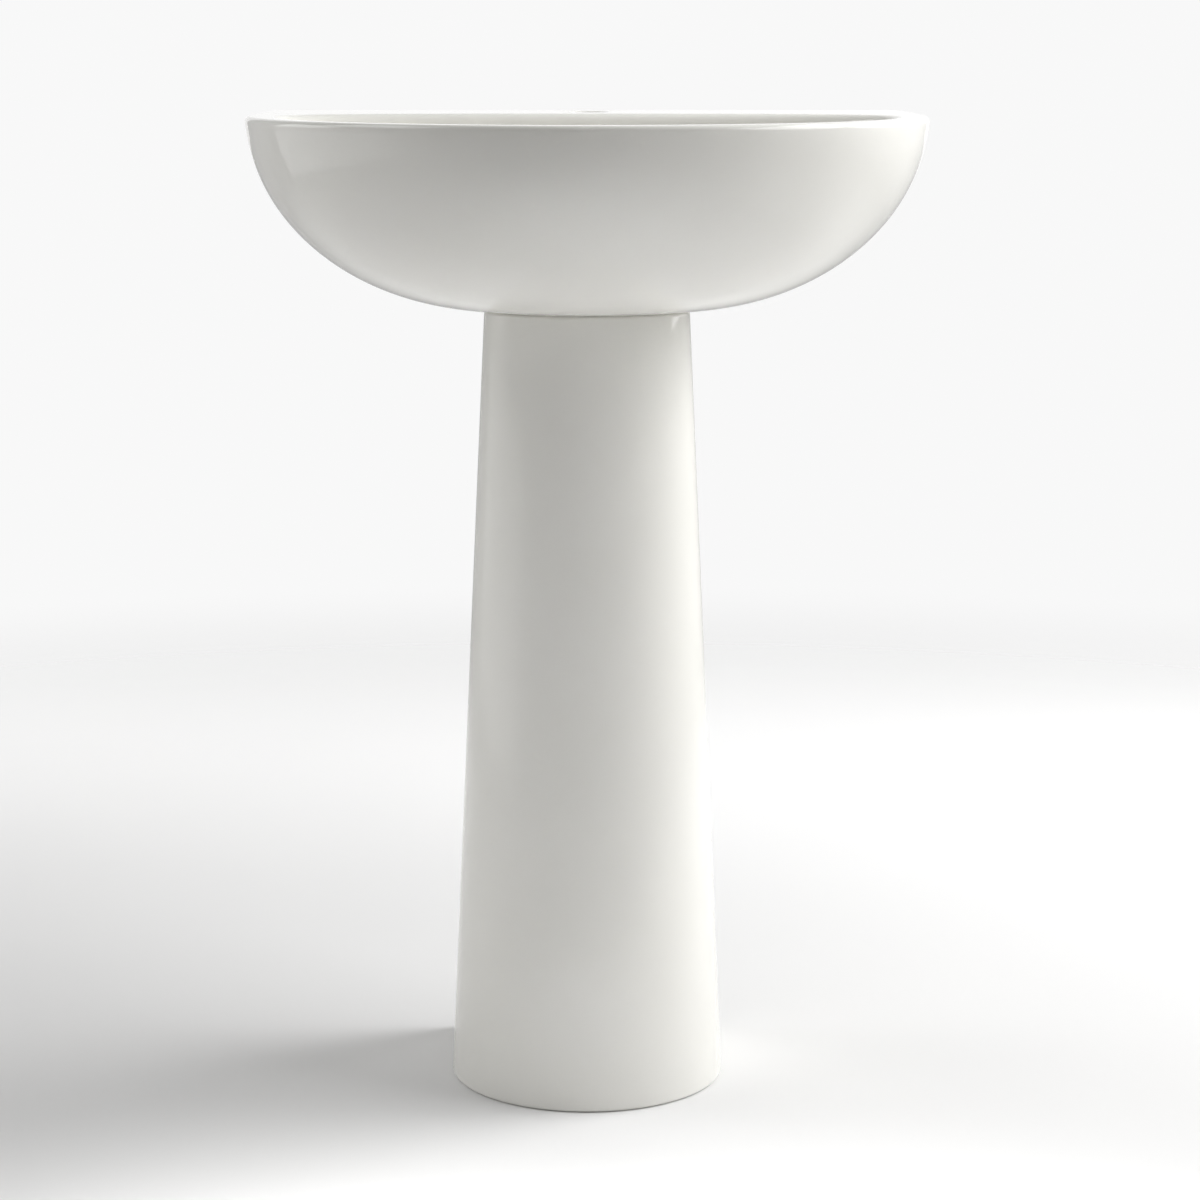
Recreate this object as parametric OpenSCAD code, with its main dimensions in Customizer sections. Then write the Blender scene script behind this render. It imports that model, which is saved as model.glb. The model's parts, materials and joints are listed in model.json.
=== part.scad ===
// Pedestal sink: a semi-oval china basin on a full hollow pedestal, with its pop-up waste and bottle trap.
// Millimetres. +Z is up, the front faces -Y, and the origin is on the floor under the middle of the basin.

/* [Overall] */
// Width of the basin across its rim
basin_w = 590; // [560:5:620]
// Depth of the basin from the wall to the front of its rim
basin_d = 460; // [440:5:480]
// Height of the rim above the floor
rim_h = 850; // [800:5:880]

/* [Basin] */
// Height of the basin's body, from the rim to the top of the pedestal
body_h = 164; // [160:1:172]
// Thickness of the china
china = 12; // [10:0.5:14]
// Depth of the bowl below the rim
bowl_h = 136; // [130:1:138]
// Width of the flat rim beside the bowl
rim_side = 34; // [30:1:40]
// Width of the flat rim in front of the bowl
rim_front = 29; // [26:1:36]
// Depth of the tap deck behind the bowl
deck_d = 123; // [118:1:130]
// Height of the flat band that meets the wall
apron_h = 92; // [80:1:96]

/* [Holes] */
// Radius of the tap hole
tap_hole_r = 17.5; // [16:0.5:18]
// Distance of the tap hole from the wall
tap_from_wall = 62; // [58:1:66]
// Distance of the waste hole from the wall
waste_from_wall = 205; // [200:1:210]
// Radius of the waste hole
waste_hole_r = 23; // [22.5:0.5:24]
// Radius of the wall fixing holes
wall_hole_r = 7; // [6:0.5:8]
// Distance between the wall fixing holes
wall_hole_gap = 280; // [200:10:300]
// Depth of the wall fixing holes below the rim
wall_hole_drop = 58; // [50:1:64]
// Radius of the overflow hole
overflow_r = 11; // [10:0.5:12]

/* [Pedestal] */
// Half width of the pedestal at its top
ped_top_a = 89; // [86:0.5:92]
// Half width of the pedestal at the floor
ped_foot_a = 121; // [112:0.5:126]
// Reach of the pedestal's round front at its top
ped_top_b = 70; // [64:1:92]
// Gap between the pedestal's back edges and the wall
ped_gap = 70; // [50:1:80]
// Width of the flanges that turn in along the pedestal's open back
ped_flange = 24; // [18:1:28]
// Radius of the floor fixing holes
floor_hole_r = 4; // [3:0.5:5]
// Thickness of the bedding seal between basin and pedestal
seal_t = 2; // [1:0.5:3]

/* [Waste and trap] */
// Travel of the pop-up plug
plug_travel = 7; // [5:0.5:7]
// Radius of the outlet pipe
pipe_r = 16; // [15.5:0.5:16]
// Height of the outlet pipe's axis above the floor
outlet_z = 556; // [540:1:570]

/* [Hidden] */

CHINA = "white";
CHROME = "silver";
BRASS = "goldenrod";
RUBBER = "dimgray";
SEALANT = "whitesmoke";
PLASTIC = "whitesmoke";

$fn = 64;
// Points along half of a basin outline: back line, back corner, side and front
N_BACK = 7;
N_CORNER = 3;
N_SIDE = 9;
N_FRONT = 23;
HALF = N_BACK + N_CORNER + N_SIDE + N_FRONT;

wall_y = basin_d / 2;
foot_z = rim_h - body_h;
ped_h = foot_z - seal_t;
rim_r = 5;
lip_r = 9;
// Plan of the rim: half width, half width at the wall, centre and reach of the front ellipse
rim_a = basin_w / 2;
rim_back_a = rim_a - 7;
rim_c = 165;
rim_b = basin_d - rim_c;
back_corner_r = 9;
// Plan of the basin's foot, where it meets the pedestal
foot_a = ped_top_a + 2;
foot_c = 195;
foot_b = ped_top_b + 2;
// Plan of the bowl: its widest line, half width, and reach to the front and to the back
bowl_c = 200;
bowl_a = rim_a - rim_side;
bowl_front = basin_d - rim_front - bowl_c;
bowl_back = bowl_c - deck_d;
// Flat round the waste hole, recess for the flange, and the boss below it
seat_r = 40;
seat_z = rim_h - bowl_h;
recess_r = 33.5;
recess_z = seat_z - 3;
boss_r = 38;
boss_z = foot_z + 2;
floor_z = foot_z + 11;
deck_under_z = rim_h - china - 2;
apron_z = rim_h - apron_h;
overflow_z = rim_h - 44;
duct_from_wall = 107;
duct_r = 7;

// Pedestal: thickness, centre of its round front, corner at the back, and the lugs in its foot
ped_t = 11;
ped_c = 195;
ped_corner_r = 14;
lug_h = 14;
lug_x = ped_foot_a - 29;
lug_from_wall = ped_gap + 45;

// Waste: its tail, flange and the levels of what it clamps
tail_r = 20.9;
tail_in_r = 18;
tail_z = foot_z - 42;
flange_r = 32;
flange_z = recess_z + 1.5;
flange_t = 4;
nut_clear = 0.1;
hub_z = foot_z - 20;
hub_h = 12;
hub_hole_r = 7.6;
// Plug: the cap stands this far above the flange when it is open
cap_r = 29;
cap_z = flange_z + flange_t + 0.3 + plug_travel;
stem_r = 4;
plunger_r = 5;
plunger_h = 22;
housing_r = 7.5;
housing_top = hub_z + 40;
spring_z = hub_z + 4;
spring_h = 16;
// Bottle trap: tube into it, its neck, body and cup
trap_tube_r = 16;
trap_tube_in_r = 14.6;
tube_flange_z = tail_z - 4;
neck_z = outlet_z + 29;
neck_h = 15;
bottle_r = 34;
bottle_z = outlet_z - 24;
skirt_r = 30.9;
skirt_h = 20;
cup_h = 60;
bottle_in_r = 28;
boss_end = 155;
pipe_bead = 138;

function mix(a, b, t) = a + (b - a) * t;
function ease(t) = sin(90 * t);
// Share of the way in from the rim's plan to the foot's plan, at a share h of the way down
function skin_in(h) = 0.09 * h + 0.91 * (1 - pow(1 - pow(h, 2.15), 0.5));
// The same for the bowl, which stays wide and turns in late
function bowl_in(h) = 0.06 * h + 0.94 * (1 - pow(1 - pow(h, 3.6), 0.5));
function share(v) = min(1, max(0, v));

// Half outline from the middle of the back round to the middle of the front.
// a, back_a: half widths; c: where the front ellipse starts; b: its reach; w, back: insets
function half_outline(a, back_a, c, b, r, w, back) = concat(
    [for (i = [0:N_BACK - 1]) [(back_a - w - r) * i / N_BACK, wall_y - back]],
    [for (i = [0:N_CORNER - 1]) let (q = 90 * i / N_CORNER)
        [back_a - w - r + r * sin(q), wall_y - back - r * (1 - cos(q))]],
    [for (i = [0:N_SIDE - 1]) let (t = i / N_SIDE)
        [mix(back_a - w, a - w, ease(t)), wall_y - mix(back + r, c, t)]],
    [for (i = [0:N_FRONT]) let (q = 90 * i / N_FRONT) [(a - w) * cos(q), wall_y - c - (b - w) * sin(q)]]
);
function rim_half(w, back) = half_outline(rim_a, rim_back_a, rim_c, rim_b, back_corner_r, w, back);
function foot_half(w, back) = half_outline(foot_a, foot_a, foot_c, foot_b, back_corner_r, w, back);

// A whole ring at height z from a half outline
function ring(half, z) = concat(
    [for (p = half) [p.x, p.y, z]],
    [for (i = [len(half) - 2:-1:1]) [-half[i].x, half[i].y, z]]
);
// The basin's outer skin at height z, inset by w, taken from the shape at height z - up
function skin_ring(z, w = 0, back = 0, up = 0) =
    let (s = skin_in(share((rim_h - rim_r - z + up) / (body_h - rim_r))),
        rim = rim_half(w, back), foot = foot_half(w, back))
    ring([for (i = [0:HALF]) mix(rim[i], foot[i], s)], z);

// The bowl at height z, grown by side at its front and sides and by back behind it, and lowered by down
function bowl_reach(q, side, back) =
    let (front = sin(q) >= 0, n = front ? 2 : 2.6, b = front ? bowl_front + side : bowl_back + back)
    pow(pow(abs(cos(q)) / (bowl_a + side), n) + pow(abs(sin(q)) / b, n), -1 / n);
function bowl_half(z, side, back, down) =
    let (s = bowl_in(share((rim_h - z - down) / bowl_h)), rim = rim_half(0, 0), r_in = seat_r + back)
    [for (p = rim) let (
        q = atan2(wall_y - bowl_c - p.y, p.x),
        r = bowl_reach(q, side, back),
        edge = [r * cos(q), wall_y - bowl_c - r * sin(q)],
        seat = [r_in * cos(q), wall_y - waste_from_wall - r_in * sin(q)]
    ) mix(edge, seat, s)];
function bowl_ring(z, side = 0, back = 0, down = 0) = ring(bowl_half(z, side, back, down), z);

// A closed solid through a stack of rings, each end closed to its own middle point
module loft(rings, first, last) {
    n = len(rings[0]);
    m = len(rings);
    top = 1 + n * m;
    points = concat([first], [for (r = rings) each r], [last]);
    sides = [for (k = [0:m - 2], i = [0:n - 1])
        let (a = 1 + k * n + i, b = 1 + k * n + (i + 1) % n) each [[a, b, b + n], [a, b + n, a + n]]];
    start = [for (i = [0:n - 1]) [0, 1 + (i + 1) % n, 1 + i]];
    end = [for (i = [0:n - 1]) [top, 1 + (m - 1) * n + i, 1 + (m - 1) * n + (i + 1) % n]];
    polyhedron(points, concat(start, sides, end), convexity = 8);
}

// Moves children to the waste's axis, or the wall plane, both seen from the front
module at_waste(z = 0) { translate([0, wall_y - waste_from_wall, z]) children(); }
module from_wall(x, d, z) { translate([x, wall_y - d, z]) rotate([90, 0, 0]) children(); }

module ring_solid(r_out, r_in, h) {
    difference() {
        cylinder(r = r_out, h = h);
        translate([0, 0, -1]) cylinder(r = r_in, h = h + 2);
    }
}

// ---- basin ----

// Outside, rim and bowl in one skin, filled below
module basin_outside() {
    skin_n = 12;
    bowl_n = 12;
    steps = 3;
    h_skin = body_h - rim_r;
    h_bowl = bowl_h - lip_r;
    rings = concat(
        [for (k = [0:skin_n]) skin_ring(foot_z + h_skin * (1 - cos(90 * k / skin_n)))],
        [for (k = [1:steps]) let (q = 90 * k / steps)
            skin_ring(rim_h - rim_r * (1 - sin(q)), rim_r * (1 - cos(q)), rim_r * (1 - cos(q)))],
        [for (k = [0:steps]) let (q = 90 * k / steps)
            bowl_ring(rim_h - lip_r * (1 - cos(q)), lip_r * (1 - sin(q)), lip_r * (1 - sin(q)))],
        [for (k = [1:bowl_n]) bowl_ring(rim_h - lip_r - h_bowl * sin(90 * k / bowl_n))]
    );
    loft(rings, [0, wall_y - waste_from_wall, foot_z], [0, wall_y - waste_from_wall, seat_z]);
}

// The service space below the deck and inside the foot, open at the bottom and at the back below the apron
module service_space() {
    levels = 7;
    behind = -10;
    below = foot_z - 8;
    low = foot_z + china;
    lower = [for (k = [0:levels]) skin_ring(mix(low, apron_z, k / levels), china, behind, china)];
    high = levels - 3;
    upper = [for (k = [0:high]) skin_ring(mix(apron_z, deck_under_z, k / high), china, china, china)];
    foot = [ring(foot_half(china, behind), below), ring(foot_half(china, behind), low - 1)];
    middle = [0, wall_y - waste_from_wall];
    difference() {
        loft(concat(foot, lower, upper), [middle.x, middle.y, below], [middle.x, middle.y, deck_under_z]);
        bowl_outside();
        overflow_duct_outside();
        at_waste(boss_z) cylinder(r = boss_r, h = 40);
    }
}

// What the bowl and its floor keep of the service space
module bowl_outside() {
    levels = 9;
    side = rim_side + 6;
    rings = [for (k = [0:levels]) bowl_ring(mix(floor_z, rim_h + 1, 1 - cos(90 * k / levels)),
        side, china + 1, china + 7)];
    loft(rings, [0, wall_y - waste_from_wall, floor_z], [0, wall_y - waste_from_wall, rim_h + 1]);
}

// The cast overflow passage, down behind the bowl and forward into the waste hole
module duct_ball(d, z, r) { translate([0, wall_y - d, z]) sphere(r = r, $fn = 20); }
module overflow_duct(r) {
    bend_z = floor_z + duct_r + 3;
    hull() {
        duct_ball(duct_from_wall, overflow_z, r);
        duct_ball(duct_from_wall, bend_z, r);
    }
    hull() {
        duct_ball(duct_from_wall, bend_z, r);
        duct_ball(waste_from_wall - waste_hole_r, floor_z + duct_r - 2, r);
    }
}
module overflow_duct_outside() {
    hull() overflow_duct(duct_r + 6);
}
module overflow_cuts() {
    overflow_duct(duct_r);
    from_wall(0, duct_from_wall, overflow_z) cylinder(r = overflow_r, h = 30, $fn = 40);
    from_wall(0, deck_d + 0.6, overflow_z) cylinder(r = overflow_r + 4, h = 20, $fn = 40);
}

module basin() {
    color(CHINA) difference() {
        resize([basin_w, basin_d, body_h]) difference() {
            basin_outside();
            service_space();
            overflow_cuts();
        }
        at_waste(boss_z - 5) cylinder(r = waste_hole_r, h = bowl_h);
        at_waste(recess_z) cylinder(r = recess_r, h = bowl_h);
        translate([0, wall_y - tap_from_wall, deck_under_z - 5]) cylinder(r = tap_hole_r, h = 30);
        for (x = [-1, 1]) from_wall(x * wall_hole_gap / 2, -5, rim_h - wall_hole_drop)
            cylinder(r = wall_hole_r, h = china + 10);
    }
}

// ---- pedestal ----

// Half width of the pedestal, and the reach of its front, at height z
function ped_a(z) = mix(ped_foot_a, ped_top_a, z / ped_h);
function ped_b(z) = mix(ped_foot_a + 3, ped_top_b, z / ped_h);
// Half of the pedestal's plan at height z, inset by w: back flange, corner, side and round front
function ped_half(z, w) =
    let (a = ped_a(z), b = ped_b(z) - w, tip = a - ped_t - ped_flange, r = ped_corner_r - w, d = ped_gap + w)
    concat(
        [for (x = [tip, mix(tip, a - w - r, 0.5)]) [x, wall_y - d]],
        [for (q = [0:22.5:90]) [a - w - r + r * sin(q), wall_y - d - r * (1 - cos(q))]],
        [for (t = [0.25, 0.5, 0.75]) [a - w, wall_y - mix(d + r, ped_c, t)]],
        [for (i = [0:20]) let (q = 90 * i / 20) [(a - w) * cos(q), wall_y - ped_c - b * sin(q)]]
    );
// An open C: the outside from one tip round to the other, then back along the inside
function both_sides(half) = concat(half, [for (i = [len(half) - 2:-1:0]) [-half[i].x, half[i].y]]);
function backwards(list) = [for (i = [len(list) - 1:-1:0]) list[i]];
function c_path(outer, inner) = concat(both_sides(outer), backwards(both_sides(inner)));

// Stack of C sections, closed top and bottom by strips between the outside and the inside
module c_loft(sections) {
    n = len(sections[0]);
    m = len(sections);
    last = (m - 1) * n;
    sides = [for (k = [0:m - 2], i = [0:n - 1])
        let (a = k * n + i, b = k * n + (i + 1) % n) each [[a, b, b + n], [a, b + n, a + n]]];
    bottom = [for (i = [0:n / 2 - 2]) let (j = n - 1 - i) each [[i, j, i + 1], [i + 1, j, j - 1]]];
    top = [for (f = bottom) [last + f[2], last + f[1], last + f[0]]];
    polyhedron([for (s = sections) each s], concat(sides, bottom, top), convexity = 8);
}

module pedestal_shell() {
    // Levels, each a height and how far the outside is pulled in there
    levels = [[0, 3], [1.5, 1], [4, 0], [ped_h * 0.35, 0], [ped_h * 0.7, 0], [ped_h - 3, 0], [ped_h, 2]];
    function section(z, w) = [for (p = c_path(ped_half(z, w), ped_half(z, ped_t))) [p.x, p.y, z]];
    c_loft([for (e = levels) section(e[0], e[1])]);
}

// A bar across the open back, from flange to flange
module back_bridge(z, h) {
    reach = ped_a(z + h) - ped_t - ped_flange + 6;
    translate([-reach, wall_y - ped_gap - ped_t, z]) cube([2 * reach, ped_t, h]);
}

module pedestal() {
    lug = [30, 34];
    color(CHINA) difference() {
        resize([2 * ped_foot_a, 0, ped_h]) union() {
            pedestal_shell();
            back_bridge(0, 44);
            back_bridge(ped_h * 0.46, 36);
            back_bridge(ped_h - 40, 40);
            for (x = [-1, 1]) translate([x * (lug_x + 4), wall_y - lug_from_wall, lug_h / 2])
                cube([lug.x, lug.y, lug_h], center = true);
        }
        for (x = [-1, 1]) translate([x * lug_x, wall_y - lug_from_wall, -1])
            cylinder(r = floor_hole_r, h = lug_h + 2);
    }
}

// Bead of sealant between the pedestal's top and the basin's foot, along the sides and the front
module bedding_seal() {
    first = 6;
    outer = [for (i = [first:len(ped_half(0, 0)) - 1]) ped_half(ped_h, 3)[i]];
    inner = [for (i = [first:len(ped_half(0, 0)) - 1]) ped_half(ped_h, 8)[i]];
    color(SEALANT) translate([0, 0, ped_h]) linear_extrude(seal_t) polygon(c_path(outer, inner));
}

// ---- overflow ----

module overflow_ring() {
    face_d = deck_d + 0.6;
    color(CHROME) difference() {
        union() {
            from_wall(0, face_d, overflow_z) cylinder(r = overflow_r + 3, h = 1.2);
            from_wall(0, face_d + 1.2, overflow_z)
                cylinder(r1 = overflow_r + 3, r2 = overflow_r + 1.8, h = 0.8);
            from_wall(0, face_d - 11, overflow_z) cylinder(r = overflow_r - 0.3, h = 12);
        }
        from_wall(0, face_d - 12, overflow_z) cylinder(r = overflow_r - 2, h = 16);
    }
}

// ---- waste ----

module waste_body() {
    top = flange_z + flange_t;
    color(CHROME) at_waste() {
        difference() {
            rotate_extrude() polygon([
                [tail_in_r, tail_z], [tail_r, tail_z], [tail_r, flange_z], [flange_r, flange_z],
                [flange_r, top - 1.5], [flange_r - 1, top - 0.3], [flange_r - 2.5, top],
                [cap_r - 2.5, top], [tail_r - 1.4, top - 2.3], [tail_in_r, top - 3.8]
            ]);
            // Two overflow slots, level with the end of the cast duct
            for (q = [0, 90]) rotate(q) translate([-6, -40, floor_z - 1]) cube([12, 80, 11]);
        }
        difference() {
            union() {
                translate([0, 0, hub_z]) cylinder(r = hub_hole_r + 3.4, h = hub_h);
                for (q = [30, 150, 270]) rotate(q) translate([hub_hole_r + 2, -1.5, hub_z])
                    cube([tail_in_r - hub_hole_r - 1.5, 3, hub_h]);
            }
            translate([0, 0, hub_z - 1]) cylinder(r = hub_hole_r, h = hub_h + 2);
        }
    }
}

module waste_top_seal() {
    color(RUBBER) at_waste(recess_z) ring_solid(flange_r - 0.5, waste_hole_r + 1, flange_z - recess_z);
}

module waste_bottom_seal() {
    color(RUBBER) at_waste(boss_z - 8) rotate_extrude()
        polygon([[tail_r + 0.2, 0], [33, 0], [33, 4], [30, 8], [tail_r + 0.2, 8]]);
}

module waste_slip_washer() {
    color(PLASTIC) at_waste(boss_z - 10) ring_solid(32, tail_r + 0.3, 2);
}

module waste_back_nut() {
    color(BRASS) at_waste(boss_z - 22) difference() {
        union() {
            cylinder(r = 30, h = 10, $fn = 6);
            translate([0, 0, 9]) cylinder(r = 31, h = 3);
        }
        translate([0, 0, -1]) cylinder(r = tail_r + nut_clear, h = 15);
    }
}

// ---- plug ----

// Shallow dome: an arc from the crown down to a thin rounded rim
module plug_cap() {
    rim = 1.8;
    crown = 4;
    dome_r = (cap_r * cap_r + crown * crown) / (2 * crown);
    sweep = asin(cap_r / dome_r);
    arc = [for (i = [0:8]) let (q = sweep * i / 8) [dome_r * sin(q), rim + crown - dome_r * (1 - cos(q))]];
    color(CHROME) at_waste(cap_z) difference() {
        rotate_extrude() polygon(concat([[0, 0]], arc, [[cap_r, 0.8], [cap_r - 0.8, 0]]));
        translate([0, 0, -1]) cylinder(r = stem_r + nut_clear, h = 3.5);
    }
}

module plug_seal() {
    color(RUBBER) at_waste(cap_z - 2.2) rotate_extrude()
        polygon([[stem_r + 0.3, 0], [19.6, 0], [24, 1.6], [24, 2.2], [stem_r + 0.3, 2.2]]);
}

module plug_stem() {
    plunger_z = spring_z + spring_h;
    color(BRASS) at_waste() union() {
        translate([0, 0, plunger_z]) cylinder(r = plunger_r, h = plunger_h);
        translate([0, 0, plunger_z + plunger_h])
            cylinder(r = stem_r, h = cap_z + 2.5 - plunger_z - plunger_h);
    }
}

module plug_lock_nut() {
    color(BRASS) at_waste(cap_z - 5.2) difference() {
        cylinder(r = 7, h = 3, $fn = 6);
        translate([0, 0, -1]) cylinder(r = stem_r + nut_clear, h = 5);
    }
}

module plug_housing() {
    color(PLASTIC) at_waste(hub_z) difference() {
        union() {
            cylinder(r = housing_r, h = housing_top - hub_z);
            translate([0, 0, hub_h]) cylinder(r = housing_r + 2.5, h = 3);
        }
        translate([0, 0, spring_z - hub_z]) cylinder(r = plunger_r + 0.05, h = housing_top);
    }
}

// Compression spring: a round wire swept along a helix
module plug_spring() {
    turns = 7;
    wire_r = 0.55;
    coil_r = 4;
    sides = 6;
    steps = 14;
    n = turns * steps;
    rise = spring_h - 2 * wire_r;
    function hoop(t) = let (q = 360 * turns * t)
        [for (s = [0:sides - 1]) let (w = 360 * s / sides, r = coil_r + wire_r * cos(w))
            [r * cos(q), r * sin(q), wire_r + rise * t + wire_r * sin(w)]];
    function middle(t) = [coil_r * cos(360 * turns * t), coil_r * sin(360 * turns * t), wire_r + rise * t];
    color(CHROME) at_waste(spring_z) loft([for (i = [0:n]) hoop(i / n)], middle(0), middle(1));
}

// ---- bottle trap ----

// A plastic nut, open end up: a lip at the bottom, threaded above it, with grip grooves
module slip_nut(r_out, r_lip, h, lip_h) {
    grooves = 16;
    difference() {
        cylinder(r = r_out, h = h);
        translate([0, 0, lip_h]) cylinder(r = tail_r + nut_clear, h = h);
        translate([0, 0, -1]) cylinder(r = r_lip, h = h);
        for (i = [0:grooves - 1]) rotate(360 * i / grooves)
            translate([r_out + 0.8, 0, -1]) cylinder(r = 2, h = h + 2, $fn = 24);
    }
}

module trap_inlet_nut() {
    color(PLASTIC) at_waste(tube_flange_z - 5) slip_nut(27, trap_tube_r + 0.4, 26, 5);
}

module trap_inlet_seal() {
    color(RUBBER) at_waste(tail_z - 2) ring_solid(tail_r - 0.4, trap_tube_in_r, 2);
}

module trap_inlet_tube() {
    foot = outlet_z - 51;
    color(PLASTIC) at_waste() rotate_extrude() polygon([
        [trap_tube_in_r, foot], [trap_tube_r, foot], [trap_tube_r, tube_flange_z],
        [tail_r - 0.6, tube_flange_z], [tail_r - 0.6, tube_flange_z + 2], [trap_tube_in_r, tube_flange_z + 2]
    ]);
}

// Tapered sealing ring, narrow end up
module cone_seal() {
    inside = trap_tube_r + 0.1;
    outside = tail_r - 0.4;
    rotate_extrude() polygon([[inside, 0], [outside, 0], [outside, 2], [18, 4], [inside, 4]]);
}

module trap_neck_seal() {
    color(RUBBER) at_waste(neck_z + neck_h) cone_seal();
}

module trap_neck_nut() {
    color(PLASTIC) at_waste(neck_z + neck_h + 9) mirror([0, 0, 1])
        slip_nut(26, trap_tube_r + 0.4, 21, 5);
}

module trap_body() {
    color(PLASTIC) difference() {
        union() {
            at_waste(bottle_z) cylinder(r = bottle_r, h = neck_z - 3 - bottle_z);
            at_waste(neck_z - 3) cylinder(r1 = bottle_r, r2 = bottle_r - 3, h = 3);
            at_waste(bottle_z - skirt_h) cylinder(r = skirt_r, h = skirt_h + 1);
            at_waste(neck_z - 1) cylinder(r = tail_r, h = neck_h + 1);
            from_wall(0, boss_end, outlet_z) cylinder(r = tail_r, h = waste_from_wall - boss_end - 15);
        }
        at_waste(bottle_z - skirt_h - 1) cylinder(r = bottle_in_r, h = neck_z - 4 - bottle_z + skirt_h);
        at_waste(bottle_z) cylinder(r = trap_tube_r + 1, h = 100);
        from_wall(0, boss_end - 1, outlet_z)
            cylinder(r = pipe_r + 1.2, h = waste_from_wall - boss_end - 10);
    }
}

module trap_cup() {
    top = bottle_z - 2;
    ribs = 20;
    color(PLASTIC) at_waste(top - cup_h) difference() {
        union() {
            cylinder(r1 = 27, r2 = bottle_r - 1, h = 8);
            translate([0, 0, 8]) cylinder(r = bottle_r - 1, h = cup_h - 26);
            translate([0, 0, cup_h - 18]) cylinder(r = bottle_r + 1, h = 18);
        }
        translate([0, 0, 3]) cylinder(r = bottle_in_r - 2, h = cup_h);
        translate([0, 0, cup_h - skirt_h - 1]) cylinder(r = skirt_r + nut_clear, h = skirt_h + 2);
        for (i = [0:ribs - 1]) rotate(360 * i / ribs)
            translate([bottle_r + 1.8, 0, cup_h - 19]) cylinder(r = 2, h = 20, $fn = 24);
    }
}

module trap_cup_seal() {
    color(RUBBER) at_waste(bottle_z - 2) ring_solid(bottle_r - 1.2, skirt_r + nut_clear, 2);
}

module trap_outlet_seal() {
    color(RUBBER) from_wall(0, boss_end, outlet_z) mirror([0, 0, 1]) cone_seal();
}

module trap_outlet_nut() {
    color(PLASTIC) from_wall(0, boss_end - 9, outlet_z) slip_nut(26, trap_tube_r + 0.4, 20, 5);
}

module outlet_pipe() {
    end = boss_end + 12;
    wall = 1.4;
    color(PLASTIC) difference() {
        union() {
            from_wall(0, 0, outlet_z) cylinder(r = pipe_r, h = end);
            from_wall(0, pipe_bead, outlet_z) cylinder(r = pipe_r + 1.5, h = 4);
        }
        from_wall(0, -1, outlet_z) cylinder(r = pipe_r - wall, h = end + 2);
    }
}

basin();
pedestal();
bedding_seal();
overflow_ring();
waste_body();
waste_top_seal();
waste_bottom_seal();
waste_slip_washer();
waste_back_nut();
plug_cap();
plug_seal();
plug_stem();
plug_lock_nut();
plug_housing();
plug_spring();
trap_inlet_nut();
trap_inlet_seal();
trap_inlet_tube();
trap_neck_nut();
trap_neck_seal();
trap_body();
trap_cup();
trap_cup_seal();
trap_outlet_nut();
trap_outlet_seal();
outlet_pipe();
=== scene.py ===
"""Pedestal sink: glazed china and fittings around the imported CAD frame. Metres, +Z up, front towards -Y."""
import json
import math

import bmesh
import bpy
import numpy as np
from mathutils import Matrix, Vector
from mathutils.bvhtree import BVHTree


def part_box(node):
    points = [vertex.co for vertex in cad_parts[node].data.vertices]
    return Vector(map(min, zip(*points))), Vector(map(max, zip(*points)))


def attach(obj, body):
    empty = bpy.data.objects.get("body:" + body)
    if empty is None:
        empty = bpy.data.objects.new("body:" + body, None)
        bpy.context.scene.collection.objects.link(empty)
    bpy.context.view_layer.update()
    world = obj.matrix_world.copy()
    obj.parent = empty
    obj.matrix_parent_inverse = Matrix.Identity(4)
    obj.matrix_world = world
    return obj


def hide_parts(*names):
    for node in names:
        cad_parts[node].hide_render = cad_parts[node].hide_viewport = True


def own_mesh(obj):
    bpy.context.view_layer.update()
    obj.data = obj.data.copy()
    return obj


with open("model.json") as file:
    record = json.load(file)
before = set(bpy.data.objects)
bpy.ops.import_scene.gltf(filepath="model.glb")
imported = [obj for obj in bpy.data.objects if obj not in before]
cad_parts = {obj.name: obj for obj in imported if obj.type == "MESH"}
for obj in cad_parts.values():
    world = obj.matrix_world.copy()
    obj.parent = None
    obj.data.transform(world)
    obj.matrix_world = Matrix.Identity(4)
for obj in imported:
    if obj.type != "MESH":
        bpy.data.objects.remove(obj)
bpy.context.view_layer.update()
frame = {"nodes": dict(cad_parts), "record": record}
nodes = frame["nodes"]

# ---- sizes read from the frame ----

BASIN_LOW, BASIN_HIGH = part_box("basin")
PED_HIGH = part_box("pedestal")[1]
WALL_Y = BASIN_HIGH.y
RIM_Z = BASIN_HIGH.z
FOOT_Z = BASIN_LOW.z
RIM_A = BASIN_HIGH.x
DEPTH = WALL_Y - BASIN_LOW.y
PED_H = PED_HIGH.z
PED_FOOT_A = PED_HIGH.x
PED_BACK_Y = PED_HIGH.y
WASTE_LOW, WASTE_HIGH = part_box("waste_body")
WASTE_Y = (WASTE_LOW.y + WASTE_HIGH.y) / 2
OVERFLOW_LOW, OVERFLOW_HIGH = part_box("overflow_ring")
OVERFLOW_Z = (OVERFLOW_LOW.z + OVERFLOW_HIGH.z) / 2

# ---- sizes of the china, in metres ----
# Names end in A for half a width, B for a reach to the front, C for how far the widest line is from
# the wall, D for a depth, H for a height, R for a radius, T for a thickness and N for a number of points

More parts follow.
